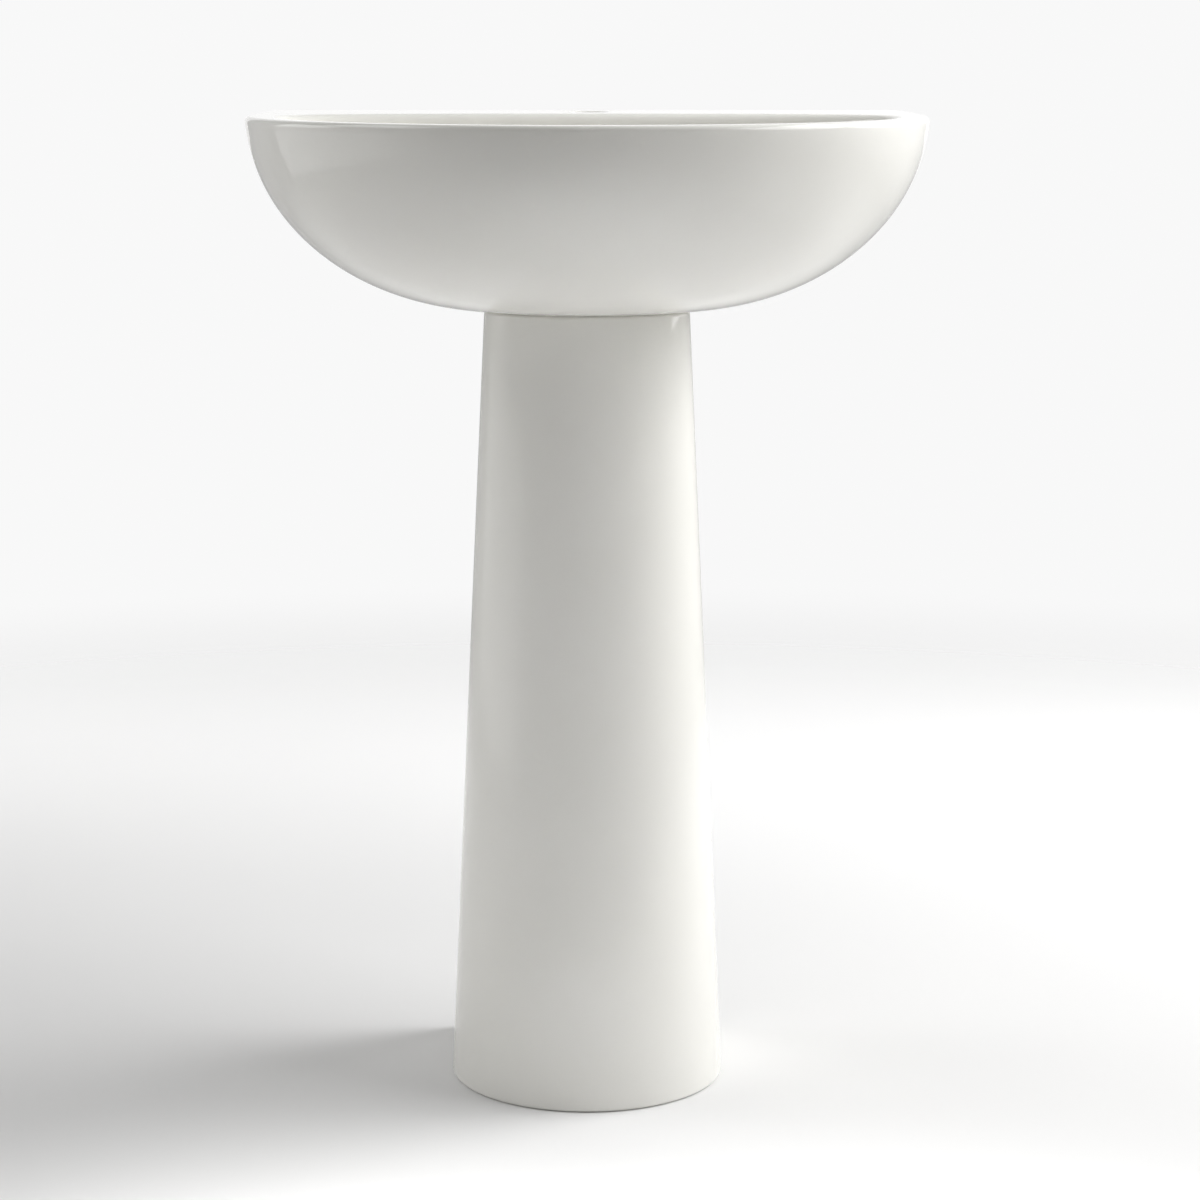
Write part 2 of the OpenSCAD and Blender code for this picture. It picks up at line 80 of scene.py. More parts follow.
MM = 0.001
ALMOST_ZERO = 1e-9
CHINA = 12 * MM
RIM_R = 5 * MM
LIP_R = 9 * MM
RIM_BACK_A = RIM_A - 7 * MM
RIM_C = 165 * MM
CORNER_R = 9 * MM
BODY_H = RIM_Z - FOOT_Z
PED_TOP_A = 89 * MM
PED_TOP_B = 70 * MM
FOOT_A = PED_TOP_A + 2 * MM
FOOT_B = PED_TOP_B + 2 * MM
FOOT_C = 195 * MM
BOWL_C = 200 * MM
BOWL_A = RIM_A - 34 * MM
BOWL_FRONT = DEPTH - 29 * MM - BOWL_C
DECK_D = 123 * MM
BOWL_BACK = BOWL_C - DECK_D
BOWL_H = 136 * MM
SEAT_R = 40 * MM
SEAT_Z = RIM_Z - BOWL_H
RECESS_R = 33.5 * MM
RECESS_EDGE_R = 1.2 * MM
RECESS_Z = SEAT_Z - 3 * MM
WASTE_R = 23 * MM
WASTE_EDGE_R = 0.8 * MM
BOSS_R = 38 * MM
BOSS_Z = FOOT_Z + 2 * MM
FLOOR_Z = FOOT_Z + 11 * MM
UNDER_Z = RIM_Z - CHINA - 2 * MM
APRON_Z = RIM_Z - 92 * MM
TAP_R = 17.5 * MM
TAP_EDGE_R = 1.6 * MM
TAP_Y = WALL_Y - 62 * MM
BOLT_R = 7 * MM
BOLT_X = 140 * MM
BOLT_Z = RIM_Z - 58 * MM
DUCT_Y = WALL_Y - 107 * MM
DUCT_R = 7 * MM
DUCT_WALL = 6 * MM
OVERFLOW_R = 11 * MM
PED_T = 11 * MM
PED_C = 195 * MM
PED_FOOT_B = PED_FOOT_A + 3 * MM
PED_CORNER_R = 14 * MM
PED_FLANGE = 24 * MM

# How the skin and the bowl draw in: the share that is straight, and the power of the curved rest
SKIN_STRAIGHT, SKIN_POWER = 0.09, 2.15
BOWL_STRAIGHT, BOWL_POWER = 0.06, 3.6

# How square the bowl's outline is in front of its widest line and behind it; 2 is an ellipse
BOWL_SQUARE_FRONT, BOWL_SQUARE_BACK = 2.0, 2.6

# Bridges over the pedestal's open back, each (its lower edge, its height), and their lap on its flanges
BRIDGES = ((0, 44 * MM), (PED_H * 0.46, 36 * MM), (PED_H - 40 * MM, 40 * MM))
BRIDGE_LAP = 8 * MM
BRIDGE_EDGE_R = 3 * MM

# Lugs inside the foot, by their half sizes, height and middles, and the screw hole in each
LUG_A, LUG_B, LUG_H = 15 * MM, 17 * MM, 14 * MM
LUG_EDGE_R = 2 * MM
LUG_X = PED_FOOT_A - 25 * MM
LUG_Y = PED_BACK_Y - 45 * MM
SCREW_X = PED_FOOT_A - 29 * MM
SCREW_R, SCREW_EDGE_R, SCREW_DEPTH = 4 * MM, 1 * MM, 20 * MM

# The plug's spring: its turns, its wire, and the pitch of its closed end turns
SPRING_TURNS = 7
SPRING_WIRE_R = 0.55 * MM
SPRING_END_PITCH = 1.2 * MM

# How near a face lies to the hidden space's surface, or to a flat back or foot, to stay unglazed
HIDDEN_REACH = 0.1 * MM
FLAT_REACH = 0.02 * MM

# How finely the china is drawn: points along half an outline, and levels up the skin and the bowl
BACK_N, CORNER_N, SIDE_N, FRONT_N = 14, 8, 30, 84
SKIN_N, BOWL_N, ARC_N = 64, 52, 9
PED_BACK_N, PED_CORNER_N, PED_SIDE_N, PED_FRONT_N, PED_TIP_N = 5, 10, 12, 60, 7


def mix(a, b, t):
    """What is a share t of the way from a to b."""
    return a + (b - a) * t


def share(v):
    """Keeps a share between 0 and 1."""
    return min(1.0, max(0.0, v))


# ---- outlines and rings of the basin ----

def half_outline(a, back_a, c, b, w, back):
    """Half outline from the middle of the back to the middle of the front, inset by w and by back."""
    r = CORNER_R
    points = []
    for i in range(BACK_N):
        points.append(((back_a - w - r) * i / BACK_N, WALL_Y - back))
    for i in range(CORNER_N):
        q = math.pi / 2 * i / CORNER_N
        points.append((back_a - w - r + r * math.sin(q), WALL_Y - back - r * (1 - math.cos(q))))
    for i in range(SIDE_N):
        t = i / SIDE_N
        ease = math.sin(math.pi / 2 * t)
        points.append((mix(back_a - w, a - w, ease), WALL_Y - mix(back + r, c, t)))
    for i in range(FRONT_N + 1):
        q = math.pi / 2 * i / FRONT_N
        points.append(((a - w) * math.cos(q), WALL_Y - c - (b - w) * math.sin(q)))
    return np.array(points)


def rim_half(w, back):
    return half_outline(RIM_A, RIM_BACK_A, RIM_C, DEPTH - RIM_C, w, back)


def foot_half(w, back):
    return half_outline(FOOT_A, FOOT_A, FOOT_C, FOOT_B, w, back)


def ring(half, z):
    """A whole ring at height z from half of it."""
    other = half[-2:0:-1] * (-1, 1)
    plan = np.vstack([half, other])
    return np.column_stack([plan, np.full(len(plan), z)])


def skin_in(h):
    """How far in from the rim to the foot the skin is at a share h of the way down."""
    return mix(1 - math.sqrt(1 - h ** SKIN_POWER), h, SKIN_STRAIGHT)


def bowl_in(h):
    """How far in from the lip to the waste the bowl is at a share h of the way down."""
    return mix(1 - math.sqrt(1 - h ** BOWL_POWER), h, BOWL_STRAIGHT)


def skin_ring(z, w=0.0, back=0.0, up=0.0):
    """The basin's outside at height z, inset by w and by back, as if the skin lay higher by up."""
    s = skin_in(share((RIM_Z - RIM_R - z + up) / (BODY_H - RIM_R)))
    return ring(mix(rim_half(w, back), foot_half(w, back), s), z)


def bowl_half(z, side, back, down):
    """Half of the bowl at height z, grown by side but by back behind, and lower by down."""
    s = bowl_in(share((RIM_Z - z - down) / BOWL_H))
    rim = rim_half(0.0, 0.0)
    q = np.arctan2(WALL_Y - BOWL_C - rim[:, 1], rim[:, 0])
    front = np.sin(q) >= -ALMOST_ZERO
    n = np.where(front, BOWL_SQUARE_FRONT, BOWL_SQUARE_BACK)
    b = np.where(front, BOWL_FRONT + side, BOWL_BACK + back)
    reach = (np.abs(np.cos(q) / (BOWL_A + side)) ** n + np.abs(np.sin(q) / b) ** n) ** (-1 / n)
    seat_r = SEAT_R + back
    edge = np.column_stack([reach * np.cos(q), WALL_Y - BOWL_C - reach * np.sin(q)])
    seat = np.column_stack([seat_r * np.cos(q), WASTE_Y - seat_r * np.sin(q)])
    return mix(edge, seat, s)


def bowl_ring(z, side=0.0, back=0.0, down=0.0):
    return ring(bowl_half(z, side, back, down), z)


# ---- mesh helpers ----

def new_object(name, points, faces):
    mesh = bpy.data.meshes.new(name)
    mesh.from_pydata([tuple(p) for p in points], [], faces)
    mesh.validate()
    obj = bpy.data.objects.new(name, mesh)
    bpy.context.scene.collection.objects.link(obj)
    return obj


def from_bmesh(name, work):
    mesh = bpy.data.meshes.new(name)
    work.to_mesh(mesh)
    work.free()
    obj = bpy.data.objects.new(name, mesh)
    bpy.context.scene.collection.objects.link(obj)
    return obj


def ring_faces(n, levels):
    """Quads between the rings of a stack, turned outwards when it is wound anticlockwise from below."""
    faces = []
    for k in range(levels - 1):
        for i in range(n):
            a, b = k * n + i, k * n + (i + 1) % n
            faces.append((a, a + n, b + n, b))
    return faces


def loft(name, rings, first, last):
    """A closed solid through a stack of rings, each end closed to its own middle point."""
    n, levels = len(rings[0]), len(rings)
    faces = ring_faces(n, levels)
    bottom, top = n * levels, n * levels + 1
    for i in range(n):
        j = (i + 1) % n
        faces.append((bottom, i, j))
        faces.append((top, (levels - 1) * n + j, (levels - 1) * n + i))
    return new_object(name, np.vstack([*rings, [first], [last]]), faces)


def outwards(obj):
    """Turns every face of a closed mesh to face out."""
    work = bmesh.new()
    work.from_mesh(obj.data)
    bmesh.ops.recalc_face_normals(work, faces=work.faces)
    work.to_mesh(obj.data)
    work.free()
    return obj


def turned(name, profile, place, axis="Z", sides=96):
    """A closed profile of (radius, height) points turned about an axis up, or forwards for "Y"."""
    points, n = [], len(profile)
    for k in range(sides):
        q = 2 * math.pi * k / sides
        for r, h in profile:
            p = (r * math.cos(q), r * math.sin(q), h)
            points.append(np.add(place, p if axis == "Z" else (p[0], -p[2], p[1])))
    faces = []
    for k in range(sides):
        m = (k + 1) % sides
        faces += [(k * n + i, m * n + i, m * n + (i + 1) % n, k * n + (i + 1) % n) for i in range(n)]
    obj = outwards(new_object(name, points, faces))
    weld(obj)
    return obj


def cone(name, place, low, high, low_r, high_r, axis="Z", sides=96):
    """A cut-off cone, or a cylinder if its radii are the same, from low to high along its axis."""
    return turned(name, [(0, low), (low_r, low), (high_r, high), (0, high)], place, axis, sides)


def weld(obj, distance=1e-6):
    """Joins the points of a mesh that coincide, such as those on a turned profile's axis."""
    work = bmesh.new()
    work.from_mesh(obj.data)
    bmesh.ops.remove_doubles(work, verts=work.verts, dist=distance)
    bmesh.ops.dissolve_degenerate(work, edges=work.edges, dist=distance)
    bare = [e for e in work.edges if not e.link_faces]
    bmesh.ops.delete(work, geom=bare, context="EDGES")
    work.to_mesh(obj.data)
    work.free()


def apply_modifiers(obj):
    """Makes the modifiers' result the object's own mesh."""
    graph = bpy.context.evaluated_depsgraph_get()
    result = bpy.data.meshes.new_from_object(obj.evaluated_get(graph))
    obj.modifiers.clear()
    obj.data = result


def cut(obj, *tools, how="DIFFERENCE"):
    """Cuts the tools out of obj, or joins them on, and removes them."""
    for tool in tools:
        change = obj.modifiers.new("cut", "BOOLEAN")
        change.operation = how
        change.solver = "MANIFOLD"
        change.object = tool
        apply_modifiers(obj)
        bpy.data.objects.remove(tool)
    return obj


def smooth(obj, angle=32):
    """Smooth shading, apart from edges sharper than the angle."""
    mesh = obj.data
    mesh.shade_smooth()
    mesh.set_sharp_from_angle(angle=math.radians(angle))


# ---- basin ----

def basin_outside():
    """Outside, rim and bowl in one skin, filled below."""
    h_skin, h_bowl = BODY_H - RIM_R, BOWL_H - LIP_R
    rings = []
    for k in range(SKIN_N + 1):
        rings.append(skin_ring(FOOT_Z + h_skin * (1 - math.cos(math.pi / 2 * k / SKIN_N))))
    for k in range(1, ARC_N + 1):
        q = math.pi / 2 * k / ARC_N
        inset = RIM_R * (1 - math.cos(q))
        rings.append(skin_ring(RIM_Z - RIM_R * (1 - math.sin(q)), inset, inset))
    rings.append(skin_ring(RIM_Z, RIM_R + 1 * MM, RIM_R + 1 * MM))
    rings.append(bowl_ring(RIM_Z, LIP_R + 1 * MM, LIP_R + 1 * MM))
    for k in range(ARC_N + 1):
        q = math.pi / 2 * k / ARC_N
        inset = LIP_R * (1 - math.sin(q))
        rings.append(bowl_ring(RIM_Z - LIP_R * (1 - math.cos(q)), inset, inset))
    for k in range(1, BOWL_N + 1):
        rings.append(bowl_ring(RIM_Z - LIP_R - h_bowl * math.sin(math.pi / 2 * k / BOWL_N)))
    return outwards(loft("basin_skin", rings, (0, WASTE_Y, FOOT_Z), (0, WASTE_Y, SEAT_Z)))


def bowl_outside():
    """The bowl with its own thickness and floor, kept out of the service space."""
    side, wall, drop = 40 * MM, CHINA + MM, CHINA + 7 * MM
    levels, top = 24, RIM_Z + MM
    rings = []
    for k in range(levels + 1):
        z = mix(FLOOR_Z, top, 1 - math.cos(math.pi / 2 * k / levels))
        rings.append(bowl_ring(z, side, wall, drop))
    return outwards(loft("bowl_wall", rings, (0, WASTE_Y, FLOOR_Z), (0, WASTE_Y, top)))


def tube_between(name, a, b, r, sides=28, rounds=8):
    """A round-ended rod of radius r from a to b."""
    a, b = Vector(a), Vector(b)
    along = (b - a).normalized()
    across = along.orthogonal().normalized()
    other = along.cross(across)
    rows = []
    for k in range(1, rounds + 1):
        q = math.pi / 2 * k / rounds
        rows.append((a - along * r * math.cos(q), r * math.sin(q)))
    for k in range(rounds):
        q = math.pi / 2 * k / rounds
        rows.append((b + along * r * math.sin(q), r * math.cos(q)))
    turn = [2 * math.pi * i / sides for i in range(sides)]
    spokes = [across * math.cos(t) + other * math.sin(t) for t in turn]
    rings = [np.array([middle + spoke * size for spoke in spokes]) for middle, size in rows]
    return outwards(loft(name, rings, a - along * r, b + along * r))


def duct_points():
    """The overflow passage: down from its ring, round a bend, and in to the side of the waste hole."""
    bend_z = FLOOR_Z + DUCT_R + 3 * MM
    end_z = FLOOR_Z + DUCT_R - 2 * MM
    return (0, DUCT_Y, OVERFLOW_Z), (0, DUCT_Y, bend_z), (0, WASTE_Y + WASTE_R, end_z)


def duct_boss():
    """The web of china around the overflow passage: the hull of a ball at each end and at its bend."""
    r, turns, rows = DUCT_R + DUCT_WALL, 32, 16
    cloud = bmesh.new()
    for place in duct_points():
        for k in range(1, rows):
            up = math.pi * k / rows
            for i in range(turns):
                q = 2 * math.pi * i / turns
                ball = Vector((math.sin(up) * math.cos(q), math.sin(up) * math.sin(q), math.cos(up)))
                cloud.verts.new(Vector(place) + ball * r)
    bmesh.ops.convex_hull(cloud, input=cloud.verts)
    inside = [v for v in cloud.verts if not v.link_faces]
    bmesh.ops.delete(cloud, geom=inside, context="VERTS")
    return outwards(from_bmesh("duct_boss", cloud))


def service_space():
    """The hollow below the deck and inside the foot, open at the bottom and at the back below the apron."""
    levels, behind, below, low = 28, -10 * MM, FOOT_Z - 8 * MM, FOOT_Z + CHINA
    rings = [ring(foot_half(CHINA, behind), below), ring(foot_half(CHINA, behind), low - MM)]
    rises = [k / levels for k in range(levels + 1)]
    rings += [skin_ring(mix(low, APRON_Z, t), CHINA, behind, CHINA) for t in rises]
    rings += [skin_ring(mix(APRON_Z, UNDER_Z, t), CHINA, CHINA, CHINA) for t in rises]
    space = outwards(loft("space", rings, (0, WASTE_Y, below), (0, WASTE_Y, UNDER_Z)))
    boss = cone("boss", (0, WASTE_Y, BOSS_Z), 0, 40 * MM, BOSS_R, BOSS_R)
    return cut(space, bowl_outside(), duct_boss(), boss)


def hole(name, r, place, depth, flare, sides=96):
    """A round cutter that goes down from place, with an edge that flares where it meets the surface."""
    above, steps = 30 * MM, 6
    profile = [(0, above), (0, -depth), (r, -depth)]
    for k in range(steps + 1):
        q = math.pi / 2 * k / steps
        profile.append((r + flare * (1 - math.cos(q)), -flare + flare * math.sin(q)))
    profile.append((r + flare, above))
    return turned(name, profile, place, sides=sides)


def apron_edge():
    """Cutter that rounds the apron's lower edge where it meets the wall."""
    r, steps, reach = 3 * MM, 6, RIM_A + 10 * MM
    section = [(MM, -MM), (-r, -MM)]
    for k in range(steps + 1):
        q = math.pi / 2 * k / steps
        section.append((-r + r * math.sin(q), r - r * math.cos(q)))
    section.append((MM, r))
    n = len(section)
    points = [(x, WALL_Y + y, APRON_Z + z) for x in (-reach, reach) for y, z in section]
    faces = [(i, (i + 1) % n, n + (i + 1) % n, n + i) for i in range(n)]
    faces += [tuple(range(n))[::-1], tuple(range(n, 2 * n))]
    return outwards(new_object("apron_edge", points, faces))


def overflow_tools():
    """Cutters for the overflow passage, the bore behind its ring, and the ring's seat in the bowl."""
    top, bend, end = duct_points()
    face_y = WALL_Y - DECK_D
    seat = (0, face_y - 0.6 * MM, OVERFLOW_Z)
    seat_r, seat_h, bore_h = OVERFLOW_R + 4 * MM, 20 * MM, 40 * MM
    return [
        tube_between("duct_down", top, bend, DUCT_R),
        tube_between("duct_in", bend, end, DUCT_R),
        cone("overflow_bore", (0, DUCT_Y, OVERFLOW_Z), 0, bore_h, OVERFLOW_R, OVERFLOW_R, "Y", 64),
        cone("overflow_seat", seat, 0, seat_h, seat_r, seat_r + MM, "Y", 64),
    ]


def mount_tools():
    """Cutters for the tap hole, the waste with its recess, the apron's edge and the two wall bolts."""
    tap_depth, waste_depth = 30 * MM, 40 * MM
    bolt_start, bolt_end = -10 * MM, CHINA + 15 * MM
    tools = [
        hole("tap", TAP_R, (0, TAP_Y, RIM_Z), tap_depth, TAP_EDGE_R),
        hole("recess", RECESS_R, (0, WASTE_Y, SEAT_Z), SEAT_Z - RECESS_Z, RECESS_EDGE_R),
        hole("waste", WASTE_R, (0, WASTE_Y, RECESS_Z), waste_depth, WASTE_EDGE_R),
        apron_edge(),
    ]
    for side in (-1, 1):
        place = (side * BOLT_X, WALL_Y, BOLT_Z)
        tools.append(cone("bolt", place, bolt_start, bolt_end, BOLT_R, BOLT_R, "Y", 48))
    return tools


def make_basin(glaze, biscuit):
    body = basin_outside()
    body.name = "china_basin"
    space = service_space()
    hidden = surface_of(space)
    cut(body, space, *overflow_tools(), *mount_tools())
    smooth(body)

    def unglazed(face):
        return hidden.find_nearest(face.center, HIDDEN_REACH)[0] or face.center.y > WALL_Y - FLAT_REACH

    glaze_all_but(body, unglazed, glaze, biscuit)
    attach(body, "sink")
    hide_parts("basin")
    return body


def surface_of(obj):
    """A tree that finds the nearest point of a mesh's surface."""
    work = bmesh.new()
    work.from_mesh(obj.data)
    tree = BVHTree.FromBMesh(work)
    work.free()
    return tree


def glaze_all_but(obj, unglazed, glaze, biscuit):
    """Glazes a piece of china, apart from the faces that unglazed picks."""
    obj.data.materials.clear()
    for material in (glaze, biscuit):
        obj.data.materials.append(material)
    bare = [1 if unglazed(face) else 0 for face in obj.data.polygons]
    obj.data.polygons.foreach_set("material_index", bare)


# ---- pedestal ----

def ped_half(z, w):
    """Half of the pedestal's plan at height z, inset by w: back flange, corner, side and round front."""
    a = mix(PED_FOOT_A, PED_TOP_A, z / PED_H)
    tip = a - PED_T - PED_FLANGE + PED_T / 2
    r, y = PED_CORNER_R - w, PED_BACK_Y - w
    b = mix(PED_FOOT_B, PED_TOP_B, z / PED_H) - w
    front_y = WALL_Y - PED_C
    points = [(mix(tip, a - w - r, i / PED_BACK_N), y) for i in range(PED_BACK_N)]
    for i in range(PED_CORNER_N + 1):
        q = math.pi / 2 * i / PED_CORNER_N
        points.append((a - w - r + r * math.sin(q), y - r * (1 - math.cos(q))))
    points += [(a - w, mix(y - r, front_y, i / PED_SIDE_N)) for i in range(1, PED_SIDE_N)]
    for i in range(PED_FRONT_N + 1):
        q = math.pi / 2 * i / PED_FRONT_N
        points.append(((a - w) * math.cos(q), front_y - b * math.sin(q)))
    return np.array(points)


def c_section(z, outer_w, inner_w):
    """The open C of the pedestal's wall at height z, with round tips along its open back."""
    outer, inner = ped_half(z, outer_w), ped_half(z, inner_w)

    def both(half):
        return np.vstack([half, half[-2::-1] * (-1, 1)])

    def tip(start, end):
        middle, r = (start + end) / 2, abs(start[1] - end[1]) / 2
        side = -1 if start[0] > 0 else 1
        turn = np.linspace(0, math.pi, PED_TIP_N + 2)[1:-1]
        sign = 1 if start[1] > end[1] else -1
        return np.column_stack([middle[0] + side * r * np.sin(turn), middle[1] + sign * r * np.cos(turn)])

    out, back = both(outer), both(inner)[::-1]
    plan = np.vstack([out, tip(out[-1], back[0]), back, tip(back[-1], out[0])])
    return np.column_stack([plan, np.full(len(plan), z)])


def pedestal_shell():
    """The C-shaped shell, with rounded edges all round its top and its foot."""
    # The edges' rounding at the top and at the foot, and the share of it that the inner edges have
    edge, foot_edge, inner_round = 3 * MM, 4 * MM, 0.6
    levels, steps = 24, 6
    rows = []
    for k in range(steps):
        q = math.pi / 2 * k / steps
        rows.append((foot_edge * (1 - math.cos(q)), foot_edge * (1 - math.sin(q))))
    rows += [(mix(foot_edge, PED_H - edge, k / levels), 0.0) for k in range(levels + 1)]
    for k in range(1, steps + 1):
        q = math.pi / 2 * k / steps
        rows.append((PED_H - edge + edge * math.sin(q), edge * (1 - math.cos(q))))
    rings = [c_section(z, w, PED_T - w * inner_round) for z, w in rows]
    n = len(rings[0])
    faces = ring_faces(n, len(rings))
    faces += c_strip(n, 0)
    faces += [face[::-1] for face in c_strip(n, (len(rings) - 1) * n)]
    return outwards(new_object("china_pedestal", np.vstack(rings), faces))


def c_strip(n, at):
    """Faces over an end of the C, whose n points start at index at: a strip, and one on each tip."""
    tip = PED_TIP_N
    run = (n - 2 * tip) // 2
    faces = []
    for i in range(run - 1):
        j = n - tip - 1 - i
        faces.append((at + i, at + i + 1, at + j - 1, at + j))
    faces.append(tuple(at + i for i in [run - 1, *range(run, run + tip), run + tip]))
    faces.append(tuple(at + i for i in [n - tip - 1, *range(n - tip, n), 0]))
    return faces


def rounded_bar(name, low, high, r):
    """A bar between two corners, with edges rounded by r."""
    work = bmesh.new()
    bmesh.ops.create_cube(work, size=1.0)
    low, high = Vector(low), Vector(high)
    bmesh.ops.scale(work, verts=work.verts, vec=high - low)
    bmesh.ops.translate(work, verts=work.verts, vec=(low + high) / 2)
    bmesh.ops.bevel(work, geom=work.edges, offset=r, segments=4, affect="EDGES", profile=0.5)
    return outwards(from_bmesh(name, work))


def inside_pedestal(face):
    """Is this one of the faces within the C, or under the foot?"""
    x, y, z = face.center
    rise = z / PED_H
    a = mix(PED_FOOT_A, PED_TOP_A, rise) - PED_T / 2
    b = mix(PED_FOOT_B, PED_TOP_B, rise) - PED_T / 2
    front = max(0.0, WALL_Y - PED_C - y)
    within = math.hypot(x / a, front / b) < 1 and y < PED_BACK_Y - PED_T / 2
    return within or z < FLAT_REACH


def make_pedestal(glaze, biscuit):
    shell = pedestal_shell()
    for z, h in BRIDGES:
        reach = mix(PED_FOOT_A, PED_TOP_A, (z + h) / PED_H) - PED_T - PED_FLANGE + BRIDGE_LAP
        low, high = (-reach, PED_BACK_Y - PED_T, z), (reach, PED_BACK_Y, z + h)
        cut(shell, rounded_bar("bridge", low, high, BRIDGE_EDGE_R), how="UNION")
    for side in (-1, 1):
        x = side * LUG_X
        low, high = (x - LUG_A, LUG_Y - LUG_B, 0), (x + LUG_A, LUG_Y + LUG_B, LUG_H)
        cut(shell, rounded_bar("lug", low, high, LUG_EDGE_R), how="UNION")
        place = (side * SCREW_X, LUG_Y, LUG_H)
        cut(shell, hole("screw", SCREW_R, place, SCREW_DEPTH, SCREW_EDGE_R, sides=48))
    smooth(shell)
    glaze_all_but(shell, inside_pedestal, glaze, biscuit)
    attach(shell, "sink")
    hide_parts("pedestal")
    return shell


# ---- plug spring ----

def coil_height(turn, height):
    """How high the wire's middle is after so many turns: closed end turns, and open ones between them."""
    end = SPRING_END_PITCH
    if turn < 1:
        return end * turn
    if turn > SPRING_TURNS - 1:
        return height - end * (SPRING_TURNS - turn)
    return end + (height - 2 * end) * (turn - 1) / (SPRING_TURNS - 2)


def make_spring(steel):
    """The plug's compression spring, with closed turns at both ends and open ones between them."""
    low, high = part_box("plug_spring")
    wire, sides, steps = SPRING_WIRE_R, 12, 28
    coil_r, height = high.x - wire, high.z - low.z
    round_wire = [2 * math.pi * i / sides for i in range(sides)]
    rings, middles = [], []
    for k in range(SPRING_TURNS * steps + 1):
        q = 2 * math.pi * k / steps
        z = low.z + wire + coil_height(k / steps, height - 2 * wire)
        reach = [(coil_r + wire * math.cos(w), z + wire * math.sin(w)) for w in round_wire]
        rings.append(np.array([(r * math.cos(q), WASTE_Y + r * math.sin(q), h) for r, h in reach]))
        middles.append((coil_r * math.cos(q), WASTE_Y + coil_r * math.sin(q), z))
    spring = outwards(loft("plug_coil", rings, middles[0], middles[-1]))
    smooth(spring)
    spring.data.materials.append(steel)
    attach(spring, "sink")
    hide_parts("plug_spring")
    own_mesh(spring)
    return spring


# ---- materials ----

def new_material(name):
    material = bpy.data.materials.new(name)
    material.use_nodes = True
    return material, material.node_tree, material.node_tree.nodes["Principled BSDF"]


def noise(tree, scale, detail=2.0, roughness=0.5):
    """A noise texture in the object's own metres."""
    place = tree.nodes.new("ShaderNodeTexCoord")
    texture = tree.nodes.new("ShaderNodeTexNoise")
    texture.inputs["Scale"].default_value = scale
    texture.inputs["Detail"].default_value = detail
    texture.inputs["Roughness"].default_value = roughness
    tree.links.new(place.outputs["Object"], texture.inputs["Vector"])
    return texture


def vary(tree, texture, low, high, socket):
    """Drives a shader's socket between two values, or two colours, with a texture."""
    ramp = tree.nodes.new("ShaderNodeValToRGB")
    for element, place, value in zip(ramp.color_ramp.elements, (0.3, 0.7), (low, high)):
        element.position = place
        element.color = (*value, 1.0) if isinstance(value, tuple) else (value, value, value, 1.0)
    tree.links.new(texture.outputs["Fac"], ramp.inputs["Fac"])
    tree.links.new(ramp.outputs["Color"], socket)


def bump(tree, shader, layers):
    """Stacks bumps, each (texture, height in metres, strength), onto the shader's normal."""
    normal = None
    for texture, distance, strength in layers:
        node = tree.nodes.new("ShaderNodeBump")
        node.inputs["Distance"].default_value = distance
        node.inputs["Strength"].default_value = strength
        tree.links.new(texture.outputs["Fac"], node.inputs["Height"])
        if normal:
            tree.links.new(normal, node.inputs["Normal"])
        normal = node.outputs["Normal"]
    tree.links.new(normal, shader.inputs["Normal"])


def glaze_material():
    material, tree, shader = new_material("white_glaze")
    shader.inputs["IOR"].default_value = 1.52
    vary(tree, noise(tree, 9.0), (0.87, 0.862, 0.82), (0.89, 0.882, 0.842), shader.inputs["Base Color"])
    vary(tree, noise(tree, 22.0, 3.0), 0.045, 0.085, shader.inputs["Roughness"])
    bump(tree, shader, [(noise(tree, 11.0, 1.0), 0.0012, 0.22), (noise(tree, 260.0, 2.0), 0.00008, 0.25)])
    return material


def biscuit_material():
    material, tree, shader = new_material("unglazed_china")
    pale, dark = (0.815, 0.80, 0.76), (0.775, 0.76, 0.715)
    vary(tree, noise(tree, 45.0, 5.0), dark, pale, shader.inputs["Base Color"])
    vary(tree, noise(tree, 120.0, 3.0), 0.55, 0.8, shader.inputs["Roughness"])
    bump(tree, shader, [(noise(tree, 60.0, 3.0), 0.0008, 0.4), (noise(tree, 700.0, 3.0), 0.0002, 0.5)])
    return material


def chrome_material():
    material, tree, shader = new_material("chrome_plate")
    shader.inputs["Metallic"].default_value = 1.0
    vary(tree, noise(tree, 40.0), (0.76, 0.77, 0.785), (0.80, 0.81, 0.82), shader.inputs["Base Color"])
    vary(tree, noise(tree, 90.0, 4.0), 0.05, 0.13, shader.inputs["Roughness"])
    bump(tree, shader, [(noise(tree, 500.0, 3.0), 0.00003, 0.3)])
    return material


def brass_material():
    material, tree, shader = new_material("turned_brass")
    shader.inputs["Metallic"].default_value = 1.0
    vary(tree, noise(tree, 120.0, 4.0), (0.62, 0.46, 0.20), (0.76, 0.60, 0.31), shader.inputs["Base Color"])
    vary(tree, noise(tree, 240.0, 3.0), 0.22, 0.38, shader.inputs["Roughness"])
    rings = tree.nodes.new("ShaderNodeTexWave")
    rings.bands_direction = "Z"
    rings.inputs["Scale"].default_value = 900.0
    rings.inputs["Distortion"].default_value = 0.6
    place = tree.nodes.new("ShaderNodeTexCoord")
    tree.links.new(place.outputs["Object"], rings.inputs["Vector"])
    bump(tree, shader, [(rings, 0.00005, 0.35)])
    return material


